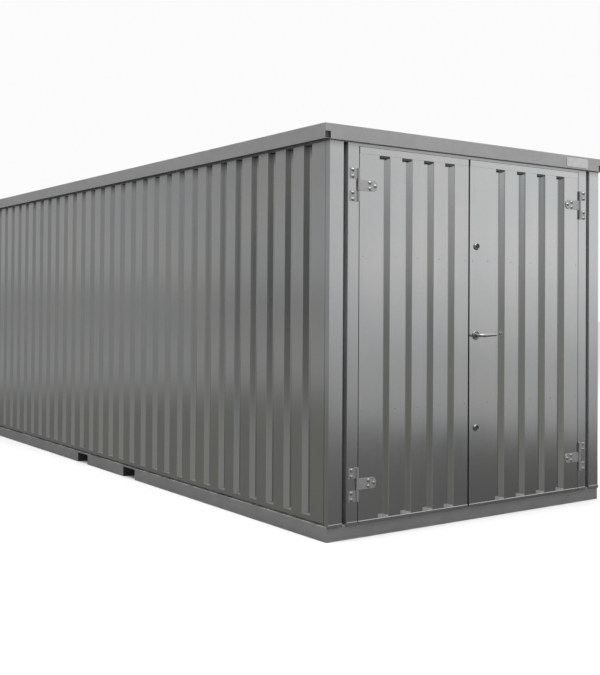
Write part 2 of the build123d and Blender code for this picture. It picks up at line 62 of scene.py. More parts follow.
# ---- materials ------------------------------------------------------------------------------------
class Mat:
    """A small helper round one node material."""

    def __init__(self, name):
        self.m = bpy.data.materials.new(name)
        self.m.use_nodes = True
        self.t = self.m.node_tree
        self.t.nodes.clear()
        self.out = self.add("OutputMaterial")
        self.b = self.add("BsdfPrincipled")
        self.t.links.new(self.b.outputs["BSDF"], self.out.inputs["Surface"])
        self.co = self.add("TexCoord").outputs["Object"]

    def add(self, kind, **attrs):
        n = self.t.nodes.new("ShaderNode" + kind)
        for k, v in attrs.items():
            setattr(n, k, v)
        return n

    def put(self, socket, value):
        if isinstance(value, bpy.types.NodeSocket):
            self.t.links.new(value, socket)
        else:
            socket.default_value = value

    def set(self, **sockets):
        for k, v in sockets.items():
            self.put(self.b.inputs[k.replace("_", " ")], v)

    def scaled(self, x, y, z):
        n = self.add("Mapping")
        n.inputs["Scale"].default_value = (x, y, z)
        self.put(n.inputs["Vector"], self.co)
        return n.outputs["Vector"]

    def noise(self, scale, detail=3.0, rough=0.55, vec=None):
        n = self.add("TexNoise")
        n.inputs["Scale"].default_value = scale
        n.inputs["Detail"].default_value = detail
        n.inputs["Roughness"].default_value = rough
        self.put(n.inputs["Vector"], vec or self.co)
        return n.outputs["Fac"]

    def cells(self, scale, vec=None):
        n = self.add("TexVoronoi")
        n.inputs["Scale"].default_value = scale
        self.put(n.inputs["Vector"], vec or self.co)
        s = self.add("SeparateColor")
        self.put(s.inputs["Color"], n.outputs["Color"])
        return s.outputs["Red"], s.outputs["Green"]

    def axis(self, which):
        s = self.add("SeparateXYZ")
        self.put(s.inputs[0], self.co)
        return s.outputs[which]

    def math(self, op, a, b=0.0, c=0.0):
        n = self.add("Math", operation=op)
        for i, v in enumerate((a, b, c)):
            self.put(n.inputs[i], v)
        return n.outputs[0]

    def span(self, value, lo, hi, a=0.0, b=1.0, smooth=False):
        n = self.add("MapRange", interpolation_type="SMOOTHSTEP" if smooth else "LINEAR")
        for k, v in (("Value", value), ("From Min", lo), ("From Max", hi), ("To Min", a), ("To Max", b)):
            self.put(n.inputs[k], v)
        return n.outputs["Result"]

    def blend(self, fac, a, b):
        n = self.add("Mix", data_type="RGBA")
        self.put(n.inputs[0], fac)
        for i, v in ((6, a), (7, b)):
            self.put(n.inputs[i], v if isinstance(v, bpy.types.NodeSocket) else (*v, 1.0))
        return n.outputs[2]

    def times(self, colour, value):
        n = self.add("VectorMath", operation="SCALE")
        self.put(n.inputs[0], colour)
        self.put(n.inputs["Scale"], value)
        return n.outputs[0]

    def bump(self, height, distance, strength=1.0, normal=None):
        n = self.add("Bump")
        n.inputs["Strength"].default_value = strength
        n.inputs["Distance"].default_value = distance
        self.put(n.inputs["Height"], height)
        if normal is not None:
            self.put(n.inputs["Normal"], normal)
        return n.outputs["Normal"]

    def total(self, base, *parts):
        """base plus each weight times (value minus a half)."""
        acc = base
        for value, weight in parts:
            acc = self.math("MULTIPLY_ADD", self.math("SUBTRACT", value, 0.5), weight, acc)
        return acc


def zinc(name, cool, warm, rough, spangle=0.02, cloud=0.06, streak=0.03, waves=0.0006,
         cell=95.0, metallic=1.0, dust=0.0, darker_below=0.0, slots=False, eave=False):
    """Zinc-coated steel: faint crystals about a centimetre across, soft clouds, faint rolling streaks."""
    m = Mat(name)
    c1, c2 = m.cells(cell)
    soft = m.noise(2.3, 4.0)
    fine = m.noise(26.0, 4.0, 0.65)
    roll = m.noise(1.0, 2.0, 0.5, m.scaled(22.0, 22.0, 0.9))
    colour = m.blend(m.span(soft, 0.3, 0.7), cool, warm)
    shade = m.total(1.0, (c1, spangle), (soft, cloud), (roll, streak), (fine, 0.02))
    colour = m.times(colour, shade)
    r = m.total(rough, (c2, 0.015), (soft, 0.05), (fine, 0.02))
    if dust:
        # a film of splash dust near the ground
        low = m.math("MULTIPLY", m.span(m.axis("Z"), 0.34, 0.06, 0.0, 1.0, True), m.span(soft, 0.25, 0.7))
        colour = m.blend(m.math("MULTIPLY", low, dust), colour, (0.36, 0.35, 0.32))
        r = m.math("MULTIPLY_ADD", low, 0.2 * dust, r)
    if darker_below:
        # darker towards the bottom
        colour = m.times(colour, m.span(m.axis("Z"), 0.4, 1.4, 1.0 - darker_below, 1.0, True))
    if slots:
        # painted shade: the narrow slots between post and jamb are painted dark and matt, darker towards the bottom
        x = m.math("ABSOLUTE", m.axis("X"))
        inside = m.math("MULTIPLY", m.span(x, 0.9575, 0.9585), m.span(x, 0.9915, 0.9905))
        inside = m.math("MULTIPLY", inside, m.span(m.axis("Y"), FY * MM + 0.0012, FY * MM + 0.0035))
        slot_shade = m.math("MULTIPLY", inside, m.span(soft, 0.1, 0.6, 0.86, 0.98))
        tone = m.blend(m.span(m.axis("Z"), 0.1, 1.3), (0.105, 0.108, 0.108), (0.205, 0.213, 0.216))
        colour = m.blend(slot_shade, colour, tone)
        r = m.math("MULTIPLY_ADD", inside, 0.25, r)
        metallic = m.math("MULTIPLY_ADD", inside, -0.8, metallic)
    if eave:
        # painted shadow of the roof edge: the sheets are darkened close under it, most of all inside the grooves
        z = m.axis("Z")
        near = m.span(z, 2.018, 2.068)
        dark = m.math("MULTIPLY", m.math("MULTIPLY", near, near), 0.5)
        deep = m.math("MULTIPLY", m.span(m.math("ABSOLUTE", m.axis("X")), 1.0785, 1.0765),
                      m.span(m.math("ABSOLUTE", m.axis("Y")), 2.6035, 2.6015))
        far = m.span(z, 1.972, 2.068)
        dark = m.math("MAXIMUM", dark, m.math("MULTIPLY", m.math("MULTIPLY", far, far),
                                              m.math("MULTIPLY", deep, 0.86)))
        colour = m.times(colour, m.math("SUBTRACT", 1.0, dark))
    m.set(Metallic=metallic, Base_Color=colour, Roughness=r)
    big = m.bump(m.noise(4.2, 2.0, 0.4, m.scaled(1.0, 1.0, 0.55)), waves)
    m.set(Normal=m.bump(c1, 0.000006, 0.6, big))
    return m.m


def worn_zinc(name, cool, warm, rough, metallic, edges=(), dirt_and_pocket_shade=0.0, cell=70.0, under=None):
    """Hot-dipped section: matt, mottled, brighter along handled edges, with a few drag marks."""
    m = Mat(name)
    c1, c2 = m.cells(cell)
    mottle = m.noise(9.0, 5.0, 0.62)
    soft = m.noise(1.7, 3.0)
    grit = m.noise(75.0, 3.0, 0.7)
    drag = m.noise(1.0, 2.0, 0.5, m.scaled(1.6, 1.6, 120.0))
    colour = m.blend(m.span(mottle, 0.32, 0.68), cool, warm)
    shade = m.total(1.0, (c1, 0.03), (soft, 0.12), (grit, 0.03))
    colour = m.times(colour, shade)
    r = m.total(rough, (mottle, 0.08), (c2, 0.02))
    z = m.axis("Z")
    for level in edges:
        near = m.span(m.math("ABSOLUTE", m.math("SUBTRACT", z, level)), 0.0065, 0.0012, 0.0, 1.0, True)
        worn = m.math("MULTIPLY", near, m.span(mottle, 0.44, 0.6))
        colour = m.blend(m.math("MULTIPLY", worn, 0.55), colour, (0.58, 0.585, 0.59))
        r = m.math("MULTIPLY_ADD", worn, -0.12, r)
    if dirt_and_pocket_shade:
        low = m.math("MULTIPLY", m.span(z, 0.055, 0.0, 0.0, 1.0, True), m.span(m.noise(14.0, 4.0), 0.35, 0.7))
        colour = m.blend(m.math("MULTIPLY", low, dirt_and_pocket_shade), colour, (0.13, 0.125, 0.115))
        # painted shade: the undersides and the insides of the pockets are painted near black
        deep = m.span(m.math("ABSOLUTE", m.axis("X")), 1.0835, 1.0825)
        deep = m.math("MULTIPLY", deep, m.span(m.math("ABSOLUTE", m.axis("Y")), 2.6085, 2.6075))
        deep = m.math("MULTIPLY", deep, m.span(z, 0.0775, 0.0765))
        colour = m.blend(m.math("MULTIPLY", deep, m.span(mottle, 0.2, 0.6, 0.8, 0.95)), colour,
                         (0.03, 0.03, 0.029))
    if under is not None:
        # painted shade on the underside of the edge
        below = m.math("MULTIPLY", m.span(z, under + 0.0007, under + 0.0004),
                       m.span(m.math("ABSOLUTE", m.axis("X")), FX * MM - 0.0006, FX * MM - 0.0012))
        below = m.math("MULTIPLY", below, m.span(m.math("ABSOLUTE", m.axis("Y")), FYO * MM - 0.0006, FYO * MM - 0.0012))
        colour = m.blend(m.math("MULTIPLY", below, m.span(mottle, 0.2, 0.6, 0.85, 0.95)), colour, (0.075, 0.075, 0.074))
    scratch = m.math("MULTIPLY", m.span(drag, 0.70, 0.76), m.span(soft, 0.5, 0.64))
    colour = m.blend(m.math("MULTIPLY", scratch, 0.22), colour, (0.55, 0.555, 0.56))
    m.set(Metallic=metallic, Base_Color=colour, Roughness=r)
    m.set(Normal=m.bump(grit, 0.00012, 0.5, m.bump(mottle, 0.0004, 0.5)))
    return m.m


def polished(name, tone, rough, grain, scale=(900.0, 40.0, 900.0), dimmer_below=False):
    """Bright worked metal with a fine grain and a few rubbed marks."""
    m = Mat(name)
    fine = m.noise(1.0, 2.0, 0.6, m.scaled(*scale))
    soft = m.noise(38.0, 3.0)
    colour = m.times(m.blend(m.span(soft, 0.3, 0.7), tone, [0.93 * c for c in tone]), m.total(1.0, (fine, 0.10)))
    r = m.total(rough, (fine, grain), (soft, 0.10))
    if dimmer_below:
        # darker and rougher towards the bottom
        low = m.span(m.axis("Z"), 1.2, 0.4, 0.0, 1.0, True)
        colour = m.times(colour, m.math("MULTIPLY_ADD", low, -0.22, 1.0))
        r = m.math("MULTIPLY_ADD", low, 0.16, r)
    m.set(Metallic=1.0, Base_Color=colour, Roughness=r)
    m.set(Normal=m.bump(fine, 0.00001, 0.4))
    return m.m


def plywood(name):
    """Film-faced floor ply: brown face with long grain, darker joints and rubbed tracks."""
    m = Mat(name)
    long_grain = m.noise(1.0, 5.0, 0.6, m.scaled(34.0, 2.2, 34.0))
    ring = m.noise(1.0, 3.0, 0.5, m.scaled(8.0, 0.7, 8.0))
    fine = m.noise(1.0, 3.0, 0.7, m.scaled(260.0, 12.0, 260.0))
    scuff = m.noise(5.5, 5.0, 0.7)
    colour = m.blend(m.span(long_grain, 0.3, 0.7), (0.235, 0.135, 0.072), (0.36, 0.225, 0.125))
    colour = m.times(colour, m.total(1.0, (ring, 0.45), (fine, 0.22)))
    colour = m.blend(m.math("MULTIPLY", m.span(scuff, 0.56, 0.7), 0.3), colour, (0.38, 0.32, 0.26))
    m.set(Base_Color=colour, Roughness=m.total(0.52, (scuff, 0.3), (fine, 0.1)))
    m.set(Normal=m.bump(long_grain, 0.0004, 0.5))
    return m.m


def rubber(name):
    """Black sealing foam: matt, slightly grey where it has chalked."""
    m = Mat(name)
    soft = m.noise(22.0, 4.0)
    pores = m.noise(900.0, 2.0, 0.7)
    m.set(Base_Color=m.times(m.blend(m.span(soft, 0.3, 0.7), (0.05, 0.05, 0.051), (0.075, 0.075, 0.076)),
                             m.total(1.0, (pores, 0.4))))
    m.set(Roughness=m.total(0.82, (soft, 0.12)))
    m.set(Normal=m.bump(pores, 0.0002, 0.5))
    return m.m


def lock_core(name):
    m = Mat(name)
    fine = m.noise(320.0, 2.0)
    m.set(Metallic=1.0, Base_Color=m.times(m.blend(fine, (0.13, 0.125, 0.115), (0.2, 0.19, 0.17)), 1.0))
    m.set(Roughness=m.total(0.38, (fine, 0.2)))
    m.set(Normal=m.bump(fine, 0.00003, 0.5))
    return m.m


SHEET = zinc("galvanised_sheet", (0.60, 0.63, 0.625), (0.64, 0.64, 0.612), 0.13, dust=0.05, eave=True)
# painted shade: a darker, duller copy of the sheet zinc for the ledges and slopes at the groove feet
SHADED_FOOT = zinc("galvanised_feet_shaded", (0.225, 0.227, 0.225), (0.25, 0.248, 0.241), 0.5, metallic=0.35)
# painted shade: near-black zinc for the webs behind the drain notches
NOTCH_SHADE = zinc("notch_web_shaded", (0.072, 0.0725, 0.0725), (0.084, 0.083, 0.081), 0.55, metallic=0.3)
LEAF = zinc("galvanised_leaf", (0.61, 0.635, 0.645), (0.65, 0.65, 0.635), 0.13, dust=0.05)
ROOF = zinc("galvanised_roof", (0.35, 0.36, 0.364), (0.38, 0.38, 0.372), 0.42, spangle=0.05, cloud=0.14,
            metallic=0.75)
FRAME_ZINC = zinc("galvanised_frame", (0.61, 0.625, 0.635), (0.635, 0.64, 0.635), 0.16, spangle=0.02,
                  cloud=0.05, waves=0.0003, dust=0.05, slots=True, eave=True)
TUBE = zinc("galvanised_tube", (0.55, 0.56, 0.57), (0.58, 0.585, 0.58), 0.33, cell=120.0, waves=0.0001)
BASE = worn_zinc("galvanised_base", (0.212, 0.214, 0.216), (0.238, 0.237, 0.233), 0.50, 0.45,
                 edges=(0.0, 0.08), dirt_and_pocket_shade=0.3)
FASCIA = worn_zinc("galvanised_fascia", (0.349, 0.351, 0.354), (0.379, 0.381, 0.381), 0.30, 0.64,
                   edges=(2.15,), under=EAVE * MM)
HINGE = zinc("hinge_zinc", (0.432, 0.435, 0.439), (0.466, 0.466, 0.465), 0.38, spangle=0.03, cell=240.0,
             waves=0.00005, metallic=0.7, darker_below=0.2)
RIVET = polished("rivet_steel", (0.22, 0.22, 0.22), 0.4, 0.06, (300.0, 300.0, 300.0))
SEAL = rubber("seal_foam")
BOLT = polished("bolt_zinc", (0.51, 0.515, 0.52), 0.36, 0.06, (300.0, 300.0, 300.0), dimmer_below=True)
STEEL = polished("handle_metal", (0.56, 0.56, 0.55), 0.30, 0.08, (30.0, 900.0, 900.0))
NICKEL = polished("lock_metal", (0.36, 0.357, 0.345), 0.30, 0.08, (500.0, 500.0, 500.0))
CORE = lock_core("lock_core")
PLATE = polished("plate", (0.80, 0.805, 0.80), 0.42, 0.10, (6.0, 400.0, 500.0))
PLY = plywood("plywood")


# ---- mesh helpers ----------------------------------------------------------------------------------
def piece(name, verts, faces, body, mats, marks=None, sharp=38.0, stands_for=(), even=False):
    """A new piece from millimetre points, smooth-shaded with its folds kept sharp."""
    me = bpy.data.meshes.new(name)
    me.from_pydata([(x * MM, y * MM, z * MM) for x, y, z in verts], [], faces)
    for m in mats:
        me.materials.append(m)
    if marks:
        me.polygons.foreach_set("material_index", marks)
    bm = bmesh.new()
    bm.from_mesh(me)
    bmesh.ops.recalc_face_normals(bm, faces=bm.faces)
    bm.to_mesh(me)
    bm.free()
    me.polygons.foreach_set("use_smooth", [True] * len(me.polygons))
    me.set_sharp_from_angle(angle=math.radians(sharp))
    o = bpy.data.objects.new(name, me)
    scene.collection.objects.link(o)
    if even:
        w = o.modifiers.new("even_normals", "WEIGHTED_NORMAL")
        w.keep_sharp = True
        w.weight = 100
    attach(o, body)
    if stands_for:
        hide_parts(*stands_for)
    return o


def rounded(node, width, mat, segments=2, name=None):
    """The part's own shape with its edges eased, standing in for the plain node."""
    me = NODES[node].data.copy()
    bm = bmesh.new()
    bm.from_mesh(me)
    bmesh.ops.remove_doubles(bm, verts=bm.verts, dist=2e-5)
    bmesh.ops.dissolve_limit(bm, angle_limit=math.radians(0.8), verts=bm.verts, edges=bm.edges)
    bmesh.ops.recalc_face_normals(bm, faces=bm.faces)
    keen = [e for e in bm.edges if len(e.link_faces) == 2 and e.calc_face_angle(0.0) > math.radians(32)]
    bmesh.ops.bevel(bm, geom=keen, offset=width * MM, offset_type="OFFSET", segments=segments,
                    profile=0.5, affect="EDGES", clamp_overlap=True)
    bmesh.ops.triangulate(bm, faces=[f for f in bm.faces if len(f.verts) > 4])
    new = bpy.data.meshes.new(name or node + "_piece")
    bm.to_mesh(new)
    bm.free()
    bpy.data.meshes.remove(me)
    new.materials.clear()
    new.materials.append(mat)
    new.polygons.foreach_set("material_index", [0] * len(new.polygons))
    new.polygons.foreach_set("use_smooth", [True] * len(new.polygons))
    new.set_sharp_from_angle(angle=math.radians(50))
    o = bpy.data.objects.new(name or node + "_piece", new)
    scene.collection.objects.link(o)
    w = o.modifiers.new("even_normals", "WEIGHTED_NORMAL")
    w.keep_sharp = True
    w.weight = 100
    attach(o, BODY[node])
    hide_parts(node)
    return o


def fillet(points, radius, steps, flat_step):
    """A polyline with rounded corners: (u, v, normal u, normal v, flat id, place on flat -1..1)."""
    cut = [0.0] * len(points)
    turn = [0.0] * len(points)
    for i in range(1, len(points) - 1):
        a, p, b = (Vector(points[j]) for j in (i - 1, i, i + 1))
        d1, d2 = (p - a).normalized(), (b - p).normalized()
        turn[i] = math.atan2(d1.x * d2.y - d1.y * d2.x, d1.dot(d2))
        cut[i] = radius * math.tan(abs(turn[i]) / 2)
    out = []
    for i in range(len(points) - 1):
        a, b = Vector(points[i]), Vector(points[i + 1])
        d = (b - a).normalized()
        nrm = (d.y, -d.x)
        s, e = a + d * cut[i], b - d * cut[i + 1]
        length = (e - s).length
        n = max(1, round(length / flat_step)) if abs(d.y) < 0.01 else 2
        for k in range(n + 1):
            if k == 0 and i > 0:
                continue
            p = s.lerp(e, k / n)
            out.append((p.x, p.y, nrm[0], nrm[1], i, 2.0 * k / n - 1.0))
        if i + 1 < len(points) - 1 and abs(turn[i + 1]) > 1e-4:
            t = turn[i + 1]
            ang0 = math.atan2(d.y, d.x)
            centre = e + Vector((-d.y, d.x)) * radius * (1 if t > 0 else -1)
            for k in range(1, steps + 1):
                q = t * k / steps
                r = Vector((d.y, -d.x)) * radius * (1 if t > 0 else -1)
                c, sn = math.cos(q), math.sin(q)
                p = centre + Vector((r.x * c - r.y * sn, r.x * sn + r.y * c))
                tx, ty = math.cos(ang0 + q), math.sin(ang0 + q)
                out.append((p.x, p.y, ty, -tx, i, 1.0))
    return out


def sheet_grid(line, rows, t, place, seed, bulge, sway):
    """Both faces of a folded sheet. rows: (w outside, w inside, None or the height of a flat strip,
    and how far the grooves have run in, 0 to 1)."""
    verts, faces, spots = [], [], []
    nc, nr = len(line), len(rows)
    for side in (0, 1):
        for wo, wi, flat, run in rows:
            w = wi if side else wo
            for u, v, nu, nv, fid, s in line:
                if flat is not None:
                    uu, vv, a, b = u, flat + t / 2, 0.0, -1.0
                elif run < 1.0:
                    uu, vv, a, b = u, t / 2 + (v - t / 2) * run, 0.0, -1.0
                else:
                    uu, vv, a, b = u, v, nu, nv
                hump = 0.0
                if flat is None and v < t:
                    hump = bulge * (1.0 - s * s) * noise.noise(Vector((fid * 3.7 + seed, w / 620.0, seed * 1.3)))
                hump += sway * noise.noise(Vector((u / 420.0 + seed * 5.1, w / 900.0, 0.5 + seed)))
                k = -t / 2 if side else t / 2
                verts.append(place(uu + a * k, vv + b * k + hump, w))
    half = nc * nr
    for r in range(nr - 1):
        for c in range(nc - 1):
            i = r * nc + c
            faces.append((i, i + 1, i + nc + 1, i + nc))
            faces.append((half + i, half + i + nc, half + i + nc + 1, half + i + 1))
            # which row a face is in, or -1 on the flats between the grooves
            spots += [r if max(line[c][1], line[c + 1][1]) > t else -1] * 2
    for c in range(nc - 1):
        faces.append((c, half + c, half + c + 1, c + 1))
        j = (nr - 1) * nc + c
        faces.append((j, j + 1, half + j + 1, half + j))
    for r in range(nr - 1):
        i, j = r * nc, r * nc + nc - 1
        faces.append((i, i + nc, half + i + nc, half + i))
        faces.append((j, half + j, half + j + nc, j + nc))
    return verts, faces, spots + [-1] * (len(faces) - len(spots))


def steps_between(a, b, step):
    n = max(1, round((b - a) / step))
    return [a + (b - a) * k / n for k in range(n + 1)]


def folds(u0, u1, centres, mouth, bottom, depth, t, head=None, tail=None):
    """Middle line of a corrugated sheet; head and tail are grooves in which the sheet ends."""
    h = t / 2
    pts = []
    if head is None:
        pts.append((u0, h))
    else:
        pts += [(u0, depth + h), (head + bottom / 2, depth + h), (head + mouth / 2, h)]
    for c in centres:
        pts += [(c - mouth / 2, h), (c - bottom / 2, depth + h), (c + bottom / 2, depth + h), (c + mouth / 2, h)]
    if tail is None:
        pts.append((u1, h))
    else:
        pts += [(tail - mouth / 2, h), (tail - bottom / 2, depth + h), (u1, depth + h)]
    return pts


def box_island(verts, faces, x0, x1, y0, y1, z0, z1, ease=0.0):
    """A closed plate, its front edges eased, added to a growing mesh."""
    b = len(verts)
    e = ease
    ring = [(x0, y1, z0), (x1, y1, z0), (x1, y1, z1), (x0, y1, z1),
            (x0, y0 + e, z0), (x1, y0 + e, z0), (x1, y0 + e, z1), (x0, y0 + e, z1),
            (x0 + e, y0, z0 + e), (x1 - e, y0, z0 + e), (x1 - e, y0, z1 - e), (x0 + e, y0, z1 - e)]
    verts += ring
    faces.append((b, b + 1, b + 2, b + 3))
    for k in range(4):
        n = (k + 1) % 4
        faces.append((b + k, b + 4 + k, b + 4 + n, b + n))
        faces.append((b + 4 + k, b + 8 + k, b + 8 + n, b + 4 + n))
    faces.append((b + 8, b + 11, b + 10, b + 9))


def turned(verts, faces, profile, n, place):
    """A solid of revolution from (radius, height) pairs, closed at both ends."""
    b = len(verts)
    for r, h in profile:
        for k in range(n):
            a = 2 * math.pi * k / n
            verts.append(place(r * math.cos(a), r * math.sin(a), h))
    m = len(profile)
    for i in range(m - 1):
        for k in range(n):
            p, q = b + i * n + k, b + i * n + (k + 1) % n
            faces.append((p, q, q + n, p + n))
    faces.append(tuple(b + k for k in range(n)))
    faces.append(tuple(b + (m - 1) * n + k for k in range(n)))


def facing(cx, cz, y0, out=-1):
    """Places a turned solid with its axis along Y, standing out of the plane y0."""
    return lambda a, b, h: (cx + a, y0 + out * h, cz + b)


def dome(r, h, rim=0.8, steps=6):
    """Round bolt head on a thin rim."""
    pts = [(r, 0.0), (r, rim * 0.7), (r - 0.35, rim)]
    for k in range(1, steps):
        a = math.radians(90 * k / steps)
        pts.append(((r - 0.35) * math.cos(a), rim + (h - rim) * math.sin(a)))
    pts.append((0.25, h))
    return pts


# ---- walls, door leaves, roof: folded sheets with rounded bends --------------------------------------
GROOVES = [(k - 14.5) * PITCH for k in range(30)]
YA, YB = GROOVES[9], GROOVES[20]
LAP = 0.5


def wall_rows():
    zs = steps_between(FOOT_Z, EAVE, 58.0)
    rows = [(PANEL_Z, PANEL_Z, 0.0, 1.0), (FOOT_Z, FOOT_Z - SHEET_T, 0.0, 1.0)]
    return rows + [(z, z if k else z - SHEET_T, None, 1.0) for k, z in enumerate(zs)]


def side_wall(node, s, y0, y1, centres, seed, head=None, tail=None):
    pts = folds(y0, y1, centres, MOUTH, BOTTOM, DEPTH, SHEET_T, head, tail)
    line = fillet(pts, 3.0, 3, 15.0)
    v, f, at = sheet_grid(line, wall_rows(), SHEET_T, lambda u, d, w: (s * (WX - d), u, w), seed, 0.55, 0.5)
    # the ledges at the groove feet take the darker copy of the zinc: painted shade
    return piece(node + "_piece", v, f, BODY[node], [SHEET, SHADED_FOOT], [int(r == 1) for r in at],
                 stands_for=(node,), even=True)


for s, tag, seed in ((-1, "left", 1.0), (1, "right", 11.0)):
    side_wall(f"wall_{tag}_front", s, FY + 36.4, YA - LAP, GROOVES[:9], seed, tail=YA)
    side_wall(f"wall_{tag}_middle", s, YA + LAP, YB - LAP, GROOVES[10:20], seed + 2, head=YA, tail=YB)
    side_wall(f"wall_{tag}_rear", s, YB + LAP, RY - 36.4, GROOVES[21:], seed + 4, head=YB)

for s, tag, seed in ((-1, "left", 21.0), (1, "right", 23.0)):
    node = f"wall_rear_{tag}"
    pts = folds(LAP, 988.0, [82.0 + 164.0 * k for k in range(6)], MOUTH, BOTTOM, DEPTH, SHEET_T)
    v, f, at = sheet_grid(fillet(pts, 3.0, 3, 15.0), wall_rows(), SHEET_T,
                          lambda u, d, w, s=s: (s * u, RY - d, w), seed, 0.55, 0.5)
    # the ledges at the groove feet take the darker copy of the zinc: painted shade
    piece(node + "_piece", v, f, BODY[node], [SHEET, SHADED_FOOT], [int(r == 1) for r in at],
          stands_for=(node,), even=True)


def leaf(node, x0, x1, centres, seed):
    pts = folds(x0, x1, centres, LEAF_MOUTH, LEAF_BOTTOM, LEAF_DEPTH, SHEET_T)
    line = fillet(pts, 3.0, 3, 15.0)
    zs = [102.6, 105.0] + steps_between(111.0, 2043.0, 58.0)
    rows = [(72.0, 72.0, -4.0, 1.0), (88.6, 87.4, -4.0, 1.0), (90.0, 88.8, -2.6, 1.0), (90.3, 89.1, 0.0, 1.0)]
    # the grooves run out in a rounded slope at the sole
    for a in (0, 20, 38, 56, 72):
        z = 91.5 + 13.0 * (1 - math.cos(math.radians(a)))
        rows.append((z, z, None, math.sin(math.radians(a)) * 1.02))
    rows += [(z, z, None, 1.0) for z in zs]
    v, f, at = sheet_grid(line, rows, SHEET_T, lambda u, d, w: (u, FY + d, w), seed, 0.5, 0.35)
    # the run-out slopes at the sole take the darker copy of the zinc: painted shade
    marks = [int(4 <= r <= 8) for r in at]
    # the head strip lies over the tops of the grooves
    box_island(v, f, x0 + 1.0, x1 - 1.0, FY - 1.3, FY - 0.45, 2011.5, 2047.5, 0.3)
    return piece(node + "_piece", v, f, BODY[node], [LEAF, SHADED_FOOT],
                 marks + [0] * (len(f) - len(marks)), stands_for=(node,), even=True)


leaf("left_leaf_sheet", -LEAF_EDGE, -79.0, LEFT_GROOVES, 31.0)
leaf("right_leaf_sheet", -67.0, LEAF_EDGE, RIGHT_GROOVES, 33.0)

roof_pts = folds(6.0 - FYO, FYO - 6.0, [(k - 15) * PITCH for k in range(31)], 84.0, 40.0, 20.0, 1.0)
rv, rf, _ = sheet_grid(fillet(roof_pts, 4.0, 3, 21.0),
                       [(x, x, None, 1.0) for x in steps_between(-1110.0, 1110.0, 92.0)], 1.0,
                       lambda u, d, w: (w, u, 2140.0 - d), 41.0, 0.6, 0.5)
piece("roof_sheet_piece", rv, rf, BODY["roof_sheet"], [ROOF], stands_for=("roof_sheet",), even=True)

# ---- foam closures in the groove heads and a dark strip under the roof edge ----------------------------
def closure(verts, faces, place, c, mouth, bottom, depth, z0, z1):
    """A foam plug with the groove's section, a little inside the flats, its lower rim eased."""
    b = len(verts)
    m, h = mouth / 2 - 1.6, bottom / 2 - 0.6
    for z, g in ((z0, 0.9), (z0 + 0.9, 0.0), (z1, 0.0)):
        for u, d in ((-m + g, 1.2 + g), (-h + g, depth - 0.4 - g), (h - g, depth - 0.4 - g), (m - g, 1.2 + g)):
            verts.append(place(c + u, d, z))
    for lay in (0, 4):
        for k in range(4):
            n = (k + 1) % 4
            faces.append((b + lay + k, b + lay + n, b + lay + 4 + n, b + lay + 4 + k))
    faces.append((b, b + 1, b + 2, b + 3))
    faces.append((b + 8, b + 9, b + 10, b + 11))


for tag, centres in (("left", LEFT_GROOVES), ("right", RIGHT_GROOVES)):
    v, f = [], []
    for c in centres:
        closure(v, f, lambda u, d, z: (u, FY + d, z), c, LEAF_MOUTH, LEAF_BOTTOM, LEAF_DEPTH, 2001.5, 2042.0)
    piece(f"leaf_closures_{tag}", v, f, f"{tag}_door", [SEAL])

v, f = [], []
for s in (-1, 1):
    for c in GROOVES:
        closure(v, f, lambda u, d, z, s=s: (s * (WX - d), u, z), c, MOUTH, BOTTOM, DEPTH, 2061.5, 2069.5)
    for c in [82.0 + 164.0 * k for k in range(6)]:
        closure(v, f, lambda u, d, z, s=s: (s * u, RY - d, z), c, MOUTH, BOTTOM, DEPTH, 2061.5, 2069.5)
piece("wall_closures", v, f, "container", [SEAL])

v, f = [], []
ring = []
for z, out in ((2063.5, 0.2), (2064.0, 1.2), (2069.7, 1.4)):
    ring.append([(-WX - out, FY - out, z), (WX + out, FY - out, z), (WX + out, RY + out, z), (-WX - out, RY + out, z)])
inner = [[(-WX + 0.4, FY + 0.4, z), (WX - 0.4, FY + 0.4, z), (WX - 0.4, RY - 0.4, z), (-WX + 0.4, RY - 0.4, z)]
         for z in (2063.5, 2069.7)]
loops = ring + inner[::-1]
for lp in loops:
    v += lp
for i in range(len(loops)):
    j = (i + 1) % len(loops)
    for k in range(4):
        n = (k + 1) % 4
        f.append((4 * i + k, 4 * i + n, 4 * j + n, 4 * j + k))
piece("eave_dark_strip", v, f, "container", [SEAL])

# the strip between the panels' feet and the step they stand on, which keeps daylight out
v, f = [], []
for s in (-1, 1):
    box_island(v, f, min(s * 1066.3, s * 1079.5), max(s * 1066.3, s * 1079.5), -2556.0, 2556.0, 89.6, 91.7)
box_island(v, f, -984.0, 984.0, RY - 14.7, RY - 1.5, 89.6, 91.7)
piece("foot_seal", v, f, "container", [SEAL])

# ---- frame, base and hardware that keep the part's own shapes, with eased edges ----------------------
for n in ("base_rail_left", "base_rail_right", "base_rail_front", "base_rail_rear"):
    rounded(n, 0.8, BASE)
for n in ("fork_pocket_front", "fork_pocket_rear", "floor_joists"):
    rounded(n, 0.8, BASE, 1)
for n in ("post_front_left", "post_front_right", "post_rear_left", "post_rear_right",
          "door_jamb_left", "door_jamb_right", "door_header", "door_sill"):
    rounded(n, 0.9, FRAME_ZINC)
for n in ("roof_fascia_left", "roof_fascia_right", "roof_fascia_front", "roof_fascia_rear"):
    rounded(n, 0.7, FASCIA)
rounded("roof_purlins", 0.5, TUBE, 1)
for n in ("left_leaf_stiles", "right_leaf_stiles", "left_leaf_rails", "right_leaf_rails"):
    rounded(n, 0.7, TUBE)
for n in ("hinge_leaves_left", "hinge_leaves_right", "left_leaf_straps", "right_leaf_straps"):
    rounded(n, 0.7, HINGE)
rounded("floor_boards", 1.2, PLY, 1)
rounded("name_plate", 0.6, PLATE)

